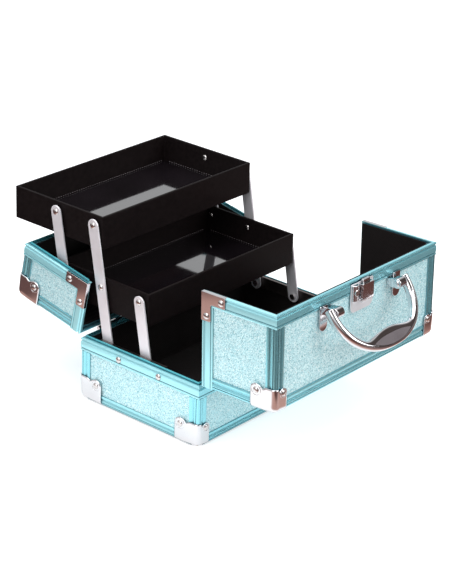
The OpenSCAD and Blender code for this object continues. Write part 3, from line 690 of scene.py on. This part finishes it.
def pressed_rings(name, places, body, matrix, every_corner=False):
    """Raised ring around each ear's rivet."""
    shape = Shape()
    around, tube = 32, 8
    for at, facing, radius in places:
        turn = Vector(facing).to_track_quat("Z", "Y").to_matrix().to_4x4()
        points = [((radius + 0.45 * math.cos(math.tau * t / tube)) * math.cos(math.tau * k / around),
                   (radius + 0.45 * math.cos(math.tau * t / tube)) * math.sin(math.tau * k / around),
                   0.32 * math.sin(math.tau * t / tube)) for k in range(around) for t in range(tube)]
        faces = [(k * tube + t, (k + 1) % around * tube + t, (k + 1) % around * tube + (t + 1) % tube,
                  k * tube + (t + 1) % tube) for k in range(around) for t in range(tube)]
        shape.add(points, faces, Matrix.Translation(Vector(at)) @ turn)
    copies = four_corners(shape) if every_corner else both_ends(shape)
    piece(name, copies, CHROME, body, (), matrix)


BRACKET_L = 28.0
BRACKET_W = 11.0
BRACKET_T = 0.8


def bracket():
    """L-shaped plate in the end face, with y back from the split edge and z up from the rim."""
    outline = [(0, 0)] + arc((BRACKET_L - 1.5, 1.5), 1.5, 270, 360)
    outline += arc((BRACKET_L - 1.5, BRACKET_W - 1.5), 1.5, 0, 90)
    outline += arc((BRACKET_W + 1.5, BRACKET_W + 1.5), 1.5, 270, 180)
    outline += arc((BRACKET_W - 1.5, BRACKET_L - 1.5), 1.5, 0, 90) + arc((1.5, BRACKET_L - 1.5), 1.5, 90, 180)
    upright = Matrix(((0, 0, 1, 0), (-1, 0, 0, 0), (0, 1, 0, 0), (0, 0, 0, 1)))
    return prism(outline, 0, BRACKET_T, upright)


def lid_hardware(prefix, depth, body, matrix):
    edge = depth - HALF_W
    corner = Shape()
    # The guard's plain face lies on the hinge wall, its ears on the end and on the top
    octant = Matrix.Translation((HALF_L + GUARD_T, -HALF_W - GUARD_T, TOP + GUARD_T)) @ Matrix((
        (-1, 0, 0, 0), (0, 0, 1, 0), (0, -1, 0, 0), (0, 0, 0, 1)))
    corner.join(guard(), octant)
    piece(prefix + "_guards", both_ends(corner), CHROME, body, [prefix + "_corner_guards"], matrix,
          solid=GUARD_T - 0.1, weld=True, smooth=50)
    plate = Shape()
    plate.join(bracket(), Matrix.Translation((HALF_L, edge, RIM)))
    lip = 0.1
    plate.join(slab((HALF_L - 3, edge - 0.5, RIM - lip), (HALF_L + BRACKET_T, edge + lip, RIM + BRACKET_L)))
    plate.join(slab((HALF_L - 3, edge - BRACKET_L, RIM - lip), (HALF_L + BRACKET_T, edge + lip, RIM + 0.5)))
    piece(prefix + "_bracket_plates", both_ends(plate), CHROME, body, [prefix + "_brackets"],
          matrix, bevel=0.3)
    heads = Shape()
    corner = Vector((HALF_L + GUARD_T, -HALF_W - GUARD_T + EAR_Z, TOP + GUARD_T))
    ears = [(corner - Z * END_EAR[0], X, 5.2), (corner - X * SIDE_EAR[0], Z, 4.2)]
    pressed_rings(prefix + "_guard_rings", ears, body, matrix)
    for at, facing, _ in ears:
        heads.join(dome(at, facing))
    heads.join(dome((HALF_L + BRACKET_T, edge - 6, RIM + 23), X))
    heads.join(dome((HALF_L + BRACKET_T, edge - 23, RIM + 6), X))
    piece(prefix + "_rivet_heads", both_ends(heads), RIVET, body, [prefix + "_rivets"], matrix)


# ---------- linings ----------
LINING_DEPTH = RIM_IN + 0.2
LINING_R = 3.5


def lining(low, high, sheets, wrinkle_seed):
    """Fabric sheets inside a box, rounded where they meet; each sheet is (fixed axis, its side)."""
    shape = Shape()
    random.seed(wrinkle_seed)
    phases = [random.uniform(0, math.tau) for _ in range(6)]
    cells = 26
    for axis, side in sheets:
        a, b = [i for i in range(3) if i != axis]
        points = []
        for i in range(cells + 1):
            for j in range(cells + 1):
                p = [0.0, 0.0, 0.0]
                p[axis] = (low, high)[side][axis]
                share_a, share_b = i / cells, j / cells
                p[a] = low[a] + (high[a] - low[a]) * (share_a - math.sin(math.tau * share_a) / 12)
                p[b] = low[b] + (high[b] - low[b]) * (share_b - math.sin(math.tau * share_b) / 12)
                points.append(soften(p, low, high, sheets, phases))
        row = cells + 1
        faces = [(i * row + j, (i + 1) * row + j, (i + 1) * row + j + 1, i * row + j + 1)
                 for i in range(cells) for j in range(cells)]
        shape.add(points, faces)
    return shape


def soften(point, low, high, sheets, phases):
    """Rounds a lining point at the corners its sheets share, and lifts it with slow wrinkles."""
    p = Vector(point)
    inner = p.copy()
    for axis, side in sheets:
        if side:
            inner[axis] = min(inner[axis], high[axis] - LINING_R)
        else:
            inner[axis] = max(inner[axis], low[axis] + LINING_R)
    out = p - inner
    wave = sum(math.sin(p[k % 3] / (9 + 4 * k) + phases[k]) for k in range(6)) / 6
    return inner + out.normalized() * (LINING_R - 0.25 - 0.2 * wave)


def linings():
    inset = LINING_DEPTH
    low = Vector((inset - HALF_L, inset - HALF_W, 5.1))
    high = Vector((HALF_L - inset, HALF_W - inset, RIM - 1))
    walls = [(0, 0), (0, 1), (1, 0), (1, 1), (2, 0)]
    piece("base_lining_fabric", lining(low, high, walls, 1), FABRIC, "root", ["base_lining"],
          solid=-0.4, weld=True, smooth=60)
    for prefix, depth, body, matrix, seed in (
            ("front_lid", FRONT_DEPTH, "front_lid", OPEN_FRONT, 2),
            ("rear_lid", REAR_DEPTH, "rear_lid", OPEN_REAR @ MIRROR_Y, 3)):
        low = Vector((inset - HALF_L, inset - HALF_W, RIM + 2.4))
        high = Vector((HALF_L - inset, depth - HALF_W - 1, TOP - inset))
        sheets = lining(low, high, [(0, 0), (0, 1), (1, 0), (2, 1)], seed)
        piece(prefix + "_lining_fabric", sheets, FABRIC, body, [prefix + "_lining"], matrix,
              solid=-0.4, weld=True, smooth=60)


# ---------- trays and straps ----------
TRAY_WALL = 2.8
STRAP_W = 12.5


def tray(name):
    low, high = box_mm(name)
    body = name
    outer = [(low.x, low.y), (high.x, low.y), (high.x, high.y), (low.x, high.y)]
    inner = [(low.x + TRAY_WALL, low.y + TRAY_WALL), (high.x - TRAY_WALL, low.y + TRAY_WALL),
             (high.x - TRAY_WALL, high.y - TRAY_WALL), (low.x + TRAY_WALL, high.y - TRAY_WALL)]
    floor = box_mm(name + "_mat")[0].z - 0.2
    points = [(x, y, z) for ring, z in ((outer, low.z), (outer, high.z), (inner, high.z), (inner, floor))
              for x, y in ring]
    faces = [(3, 2, 1, 0), (12, 13, 14, 15)]
    for ring in range(3):
        faces += [(4 * ring + i, 4 * ring + (i + 1) % 4, 4 * ring + 4 + (i + 1) % 4, 4 * ring + 4 + i)
                  for i in range(4)]
    shape = Shape()
    shape.add(points, faces)
    piece(name + "_shell", shape, LEATHER, body, [name], bevel=0.7, segments=3)
    mat_low, mat_high = box_mm(name + "_mat")
    sheet = slab(mat_low + Vector((0.4, 0.4, 0)), mat_high - Vector((0.4, 0.4, 0)))
    piece(name + "_sheet", sheet, MAT, body, [name + "_mat"], bevel=0.2)
    piece(name + "_crimps", crimps(inner, mat_high.z + 0.9), THREAD, body)


def crimps(ring, z):
    """Row of short crimp marks along the foot of a tray's inner walls."""
    shape = Shape()
    pitch, length, radius = 3.2, 2.0, 0.42
    for i in range(4):
        start, end = Vector((*ring[i], z)), Vector((*ring[(i + 1) % 4], z))
        way = (end - start).normalized()
        inward = Vector((-way.y, way.x, 0))
        count = int((end - start).length / pitch) - 1
        for k in range(1, count):
            centre = start + way * (k * pitch + pitch / 2) + inward * 0.05
            shape.join(bead(centre, way, inward, length / 2, radius))
    return shape


def bead(centre, way, inward, half, radius):
    """Small pillow: six points on its waist and one at each tip."""
    waist = []
    for k in range(6):
        turn = math.tau * k / 6
        waist.append(centre + inward * radius * math.cos(turn) + Z * radius * math.sin(turn))
    points = [centre - way * half] + waist + [centre + way * half]
    faces = [(0, 1 + (k + 1) % 6, 1 + k) for k in range(6)] + [(7, 1 + k, 1 + (k + 1) % 6) for k in range(6)]
    shape = Shape()
    shape.add(points, faces)
    return shape


def strap(name, joint, far_joint):
    """Pressed steel strap between two pivots, at both ends of the trays."""
    outer_x = box_mm(name)[1].x
    thick = 1.8
    start, end = Vector(joints[joint]["pos_m"]) / MM, Vector(far_joint)
    start.x = end.x = 0
    way = (end - start).normalized()
    side = X.cross(way)
    length = (end - start).length
    outline = arc((0, 0), STRAP_W / 2, 90, 270, 16) + arc((length, 0), STRAP_W / 2, -90, 90, 16)
    frame_matrix = Matrix((
        (0, 0, 1, outer_x - thick), (way.y, side.y, 0, start.y), (way.z, side.z, 0, start.z), (0, 0, 0, 1)))
    plate = prism(outline, 0, thick, frame_matrix)
    piece(name + "_plates", both_ends(plate), STEEL, name, [name], bevel=0.45, segments=3)


def link_rivets(name, source, body, places, outer_face, inner_face):
    """Rivet heads on the straps' outer faces, with collars and their small heads inside."""
    shape = Shape()
    for y, z in places:
        shape.join(dome((outer_face, y, z), X, 3.3, 1.4))
        shape.join(rod((inner_face - 0.9, y, z), (outer_face, y, z), 1.6))
        shape.join(dome((inner_face, y, z), -X, 2.8, 1.0))
        shape.join(rod((inner_face + TRAY_WALL + 0.1, y, z), (outer_face - 2.0, y, z), 3.4))
    piece(name, both_ends(shape), RIVET, body, [source])


def pivot_places(joint, offsets):
    """Pivots in a row behind or in front of a joint, as (y, z)."""
    at = Vector(joints[joint]["pos_m"]) / MM
    return [(at.y + offset, at.z) for offset in offsets]


def trays():
    tray("lower_tray")
    tray("upper_tray")
    lower = Vector(joints["lower_tray_level"]["pos_m"]) / MM
    upper = Vector(joints["upper_tray_level"]["pos_m"]) / MM
    rear = Vector(joints["rear_strap_pivot"]["pos_m"]) / MM
    pitch = rear.y - lower.y
    shift = Vector((0, pitch, 0))
    strap("long_straps", "tray_fold", upper)
    strap("front_straps", "front_strap_pivot", lower - shift)
    strap("rear_straps", "rear_strap_pivot", upper + shift)
    outer = box_mm("long_straps")[1].x
    wall = box_mm("lower_tray")[1].x - TRAY_WALL
    link_rivets("lower_tray_link_rivets", "lower_tray_rivets", "lower_tray",
                pivot_places("lower_tray_level", (-pitch, 0, pitch)), outer, wall)
    link_rivets("upper_tray_link_rivets", "upper_tray_rivets", "upper_tray",
                pivot_places("upper_tray_level", (0, pitch)), outer, wall)


# ---------- carry handle ----------
BOW_HALF_W = box_mm("handle_bow")[1].x
BOW_REACH = 50.0
BOW_INNER_W = 52.5
BOW_INNER_REACH = 43.2
BOW_HUMP = 10.5
BOW_HUMP_W = 36.0
BOW_POWER = 2.25        # squareness of the bow's outer edge, where 2 is an ellipse
BOW_INNER_POWER = 2.4
PAD_HALF = 27.0         # half length of the grip pad
FOOT_X = (49.5, 60.5)   # the foot plates, from the middle of the case
EAR_X = (42.3, 51.9)    # the ears that hold the bow
HANDLE_TILT = math.radians(38)
AXLE = SHUT_FRONT @ (Vector(joints["handle_swing"]["pos_m"]) / MM)


def bow_outer(t):
    power = 2 / BOW_POWER
    return Vector((BOW_HALF_W * math.cos(t) ** power, -BOW_REACH * math.sin(t) ** power, 0))


def bow_inner(t):
    power = 2 / BOW_INNER_POWER
    x = BOW_INNER_W * math.cos(t) ** power
    hump = BOW_HUMP * (1 - (x / BOW_HUMP_W) ** 2) ** 1.5 if x < BOW_HUMP_W else 0
    return Vector((x, hump - BOW_INNER_REACH * math.sin(t) ** power, 0))


def bow_section(outer, inner, half_thick, around=28):
    """Rounded section between an outer and an inner point of the bow."""
    centre, half = (outer + inner) / 2, (outer - inner) / 2
    fullness = max(0.0, min(1.0, (half.length - 3.6) / 5))
    power = 0.95 - 0.45 * fullness
    ring = []
    for k in range(around):
        turn = math.tau * k / around
        c, s = math.cos(turn), math.sin(turn)
        across = math.copysign(abs(c) ** power, c)
        up = math.copysign(abs(s) ** power, s)
        ring.append(centre + half * across + Z * half_thick * up)
    return ring


def handle():
    to_case = OPEN_FRONT @ Matrix.Translation((0, AXLE.y, AXLE.z)) @ Matrix.Rotation(-HANDLE_TILT, 4, "X")
    steps = 40
    rings = []
    for i in range(-2, steps + 1):
        t = max(0.0, math.pi / 2 * i / steps)
        outer, inner = bow_outer(t), bow_inner(t)
        if i < 0:
            outer.y = inner.y = -i * 2.4
        else:
            inner += (inner - outer).normalized() * 1.7 * math.sin(min(1.0, t / 0.55) * math.pi / 2)
        rings.append(bow_section(outer, inner, 4.9 - 0.4 * max(0.0, (i / steps)) ** 3))
    mirrored = [[Vector((-p.x, p.y, p.z)) for p in ring] for ring in rings[-2::-1]]
    rings += mirrored
    around = len(rings[0])
    points = [p for ring in rings for p in ring]
    faces = []
    for i in range(len(rings) - 1):
        for k in range(around):
            a, b = i * around + k, i * around + (k + 1) % around
            faces.append((a, b, b + around, a + around))
    faces.append(tuple(range(around)))
    faces.append(tuple(range(len(points) - 1, len(points) - 1 - around, -1)))
    shape = Shape()
    shape.add(points, faces)
    piece("handle_cast_bow", shape, CHROME, "handle", ["handle_bow"], to_case, bevel=0.8, smooth=50)
    pad = Shape()
    half = 22
    places = [i / half * PAD_HALF for i in range(-half, half + 1)]
    outline = [(x, grip_edge(x, True)) for x in places]
    outline += [(x, grip_edge(x, False)) for x in places[::-1]]
    pad.join(prism(outline, 3.2, 4.85))
    piece("handle_grip_pad", pad, GRIP, "handle", ["handle_grip"], to_case, bevel=0.35)


def grip_edge(x, outer):
    """Edges of the leaf-shaped pad on the bow's outer face."""
    share = abs(x) / PAD_HALF
    middle = -42.6 + 1.6 * share ** 2
    half = 4.5 * (1 - share ** 2.4) + 0.25
    return middle - half if outer else middle + half


def handle_feet():
    inner_x, outer_x = FOOT_X
    back, front = AXLE.y + 6.4, AXLE.y - 18.5
    r = (outer_x - inner_x) / 2
    outline = arc(((inner_x + outer_x) / 2, front + r), r, 180, 360, 14)
    outline += arc((outer_x - 1.5, back - 1.5), 1.5, 0, 90) + arc((inner_x + 1.5, back - 1.5), 1.5, 90, 180)
    shape = prism(outline, TOP - 0.1, TOP + 1.3)
    shape.join(slab((inner_x + 1, front + r, TOP - EXT_T), (outer_x - 1, SPLIT - RIM_W - 0.3, TOP)))
    piece("handle_foot_plates", both_ends(shape), CHROME, "front_lid", ["handle_feet"], OPEN_FRONT,
          bevel=0.4)
    ear = Shape()
    profile = [(AXLE.y - 4.6, TOP - 1), (SPLIT - RIM_W - 0.3, TOP - 1)] + arc((AXLE.y, AXLE.z), 5, 0, 180, 14)
    turn = Matrix(((0, 0, 1, 0), (1, 0, 0, 0), (0, 1, 0, 0), (0, 0, 0, 1)))
    ear.join(prism(profile, *EAR_X, turn))
    piece("handle_foot_ears", both_ends(ear), CHROME, "front_lid", (), OPEN_FRONT, bevel=0.6,
          segments=3)
    pins = Shape()
    pins.join(rod((42.0, AXLE.y, AXLE.z), (59.4, AXLE.y, AXLE.z), 2.0))
    pins.join(dome((42.4, AXLE.y, AXLE.z), -X, 3.4, 1.2))
    piece("handle_axle_pins", both_ends(pins), CHROME, "front_lid", ["handle_pins"], OPEN_FRONT)


# ---------- latch ----------
def latch():
    low, high = shut_box("latch_plate", OPEN_FRONT)
    face = TOP + 1.2
    r = 6
    outline = arc((low.x + r, low.y + r), r, 180, 270, 8) + arc((high.x - r, low.y + r), r, 270, 360, 8)
    outline += arc((high.x - 1.2, high.y - 1.2), 1.2, 0, 90) + arc((low.x + 1.2, high.y - 1.2), 1.2, 90, 180)
    plate = prism(outline, TOP, face)
    piece("latch_back_plate", plate, SATIN_CHROME, "front_lid", ["latch_plate"], OPEN_FRONT,
          bevel=0.4)
    barrel = shut_box("lock_barrel", OPEN_FRONT)
    bx, by = (barrel[0].x + barrel[1].x) / 2, (barrel[0].y + barrel[1].y) / 2
    housing = Shape()
    steps = 12
    profile = [(bx - 4.3, face - 0.2)] + [
        (bx - 4.3 * math.cos(math.pi * i / steps), face + 3.4 * math.sin(math.pi * i / steps) ** 0.7)
        for i in range(1, steps)] + [(bx + 4.3, face - 0.2)]
    lay = Matrix(((1, 0, 0, 0), (0, 0, -1, 0), (0, 1, 0, 0), (0, 0, 0, 1)))
    housing.join(prism(profile, -by - 7.3, -by + 8.5, lay))
    piece("lock_housing", housing, CHROME, "front_lid", (), OPEN_FRONT, bevel=0.7, segments=3)
    core = Shape()
    core.join(rod((bx, by, face), (bx, by, face + 4.0), 3.3))
    core.join(slab((bx - 0.5, by - 1.9, face + 3.8), (bx + 0.5, by + 1.9, face + 4.3)))
    piece("lock_core", core, RIVET, "lock_barrel", ["lock_barrel"], OPEN_FRONT, bevel=0.2)
    lever_low, lever_high = shut_box("latch_lever", OPEN_FRONT)
    lever = slab((lever_low.x, lever_low.y + 2.6, face + 0.4), (lever_high.x, lever_high.y, lever_high.z))
    knuckle = (lever_low.y + 2.6, face + 3.0)
    lever.join(rod((lever_low.x, *knuckle), (lever_high.x, *knuckle), 2.6))
    piece("latch_lever_block", lever, CHROME, "latch_lever", ["latch_lever"], OPEN_FRONT, bevel=0.9,
          segments=3)
    claw_low, claw_high = shut_box("latch_claw", OPEN_FRONT)
    claw = slab((claw_low.x, claw_low.y - 3, face + 1.6), (claw_high.x, claw_high.y, face + 3.2))
    claw.join(slab((claw_low.x, claw_high.y - 1.5, claw_low.z), (claw_high.x, claw_high.y, face + 1.8)))
    piece("latch_hook", claw, CHROME, "latch_lever", ["latch_claw"], OPEN_FRONT, bevel=0.4)
    pin_low, pin_high = shut_box("latch_pin", OPEN_FRONT)
    pin_y, pin_z = (pin_low.y + pin_high.y) / 2, (pin_low.z + pin_high.z) / 2
    pin = rod((pin_low.x, pin_y, pin_z), (pin_high.x, pin_y, pin_z), 1.2)
    piece("latch_lever_pin", pin, CHROME, "front_lid", ["latch_pin"], OPEN_FRONT)


# ---------- carried-over CAD nodes ----------
def dress_cad_nodes():
    """Gives every CAD node that stays its finish."""
    finishes = {"board": BOARD, "skins": GLITTER, "underside": UNDERSIDE, "hinge": CHROME, "strike": CHROME,
                "tray_rails": RAIL_STEEL, "rail_pivot": RIVET}
    for name, node in frame["nodes"].items():
        for part, finish in finishes.items():
            if part in name:
                node.data.materials.clear()
                node.data.materials.append(finish)


# ---------- stage ----------
def floor():
    mesh = bpy.data.meshes.new("floor")
    size = 6
    corners = [(-size, -size, 0), (size, -size, 0), (size, size, 0), (-size, size, 0)]
    mesh.from_pydata(corners, [], [(0, 1, 2, 3)])
    made = bpy.data.objects.new("floor", mesh)
    bpy.context.scene.collection.objects.link(made)
    finish, n, shader = material("white_table")
    # Painted reflection: glossy rays see the floor turn warm brown and then dark in an oval round the middle,
    # shorter front to back, standing in for warm surroundings beyond a small white sheet; other rays see
    # plain white
    where = n.tree.nodes.new("ShaderNodeTexCoord").outputs["Object"]
    oval = n.vector("MULTIPLY", where, (1, 1.3, 1))
    distance = n.vector("LENGTH", oval.outputs[0]).outputs["Value"]
    sheet, warm, dark = (0.65, 0.655, 0.66), (0.26, 0.145, 0.118), (0.05, 0.014, 0.010)
    painted_room_reflection = n.ramp(distance, [(0.26, sheet), (0.34, warm), (0.415, warm), (0.45, dark)])
    path = n.tree.nodes.new("ShaderNodeLightPath")
    mix = n.add("ShaderNodeMix", {"data_type": "RGBA"})
    n.set(mix, "0", path.outputs["Is Glossy Ray"])
    mix.inputs[6].default_value = (*sheet, 1)
    n.set(mix, "7", painted_room_reflection)
    n.wire(shader, Base_Color=mix.outputs[2], Roughness=0.5, Specular_IOR_Level=0.3,
           Emission_Color=mix.outputs[2])
    # The floor glows for every ray. Camera rays get the most glow, so the floor reads evenly white with faint
    # shadows. Glossy rays get more glow than the base, which brightens the painted reflection
    glow = n.math("MULTIPLY", path.outputs["Is Camera Ray"], 0.60)
    glow = n.math("ADD", glow, n.math("MULTIPLY", path.outputs["Is Glossy Ray"], 0.35))
    n.set(shader, "Emission Strength", n.math("ADD", glow, 0.2))
    mesh.materials.append(finish)


def area_light(name, place, target, size, power, colour=(1, 1, 1)):
    data = bpy.data.lights.new(name, "AREA")
    data.shape = "RECTANGLE"
    data.size, data.size_y = size
    data.energy = power
    data.color = colour
    made = bpy.data.objects.new(name, data)
    made.location = place
    made.rotation_euler = (Vector(target) - Vector(place)).to_track_quat("-Z", "Y").to_euler()
    bpy.context.scene.collection.objects.link(made)


def studio():
    scene = bpy.context.scene
    scene.view_settings.view_transform = "Standard"
    world = bpy.data.worlds.new("studio")
    world.use_nodes = True
    scene.world = world
    back = world.node_tree.nodes["Background"]
    back.inputs["Strength"].default_value = 0.75
    # Painted reflection: only glossy rays see a dark, warm patch of the world up and forward; light from
    # there stays white
    n = Nodes(world.node_tree)
    towards = n.tree.nodes.new("ShaderNodeTexCoord").outputs["Generated"]
    dot = n.vector("DOT_PRODUCT", towards, (0.20, -0.75, 0.63))
    painted_dim_reflection = n.add("ShaderNodeMapRange", {"clamp": True}, Value=dot.outputs["Value"], From_Min=0.40,
                From_Max=0.7).outputs[0]
    glossy = n.tree.nodes.new("ShaderNodeLightPath").outputs["Is Glossy Ray"]
    mix = n.add("ShaderNodeMix", {"data_type": "RGBA"})
    n.set(mix, "0", n.math("MULTIPLY", painted_dim_reflection, glossy))
    mix.inputs[6].default_value = (0.97, 0.985, 1.0, 1)
    mix.inputs[7].default_value = (0.10, 0.08, 0.075, 1)
    n.set(back, "Color", mix.outputs[2])
    centre = (0, 0, 0.08)
    area_light("top_softbox", (-0.1, -0.15, 1.5), centre, (1.6, 1.6), 22)
    area_light("front_softbox", (0.5, -1.6, 0.9), centre, (1.2, 1.0), 16)
    area_light("left_softbox", (-1.6, -0.1, 0.8), centre, (1.0, 1.0), 8)


def camera():
    """A long lens on the open case, rolled slightly."""
    length = 2 * HALF_L * MM
    azimuth, elevation, roll = math.radians(-50.066), math.radians(23.776), math.radians(2.123)
    target = Vector((0.6803, 0.5586, 0.0483)) * length + Vector((0, 0, 0.0026))
    back = Vector((math.sin(azimuth) * math.cos(elevation), -math.cos(azimuth) * math.cos(elevation),
                   math.sin(elevation)))
    place = target + back * 8.8456 * length
    right = Vector((0, 0, 1)).cross(back).normalized()
    up = back.cross(right)
    right, up = (right * math.cos(roll) + up * math.sin(roll), -right * math.sin(roll) + up * math.cos(roll))
    data = bpy.data.cameras.new("camera")
    data.sensor_width = 36
    data.sensor_fit = "AUTO"
    data.lens = 1949.8 / 565 * 36
    data.clip_end = 50
    made = bpy.data.objects.new("camera", data)
    made.matrix_world = Matrix.Translation(place) @ Matrix((right, up, back)).transposed().to_4x4()
    bpy.context.scene.collection.objects.link(made)
    bpy.context.scene.camera = made


base_extrusions()
lid_extrusions("front_lid", FRONT_DEPTH, groove_profile(), "front_lid", OPEN_FRONT)
lid_extrusions("rear_lid", REAR_DEPTH, flat_rim_profile(), "rear_lid", OPEN_REAR @ MIRROR_Y)
base_guards()
lid_hardware("front_lid", FRONT_DEPTH, "front_lid", OPEN_FRONT)
lid_hardware("rear_lid", REAR_DEPTH, "rear_lid", OPEN_REAR @ MIRROR_Y)
linings()
trays()
handle()
handle_feet()
latch()
dress_cad_nodes()
floor()
studio()
camera()
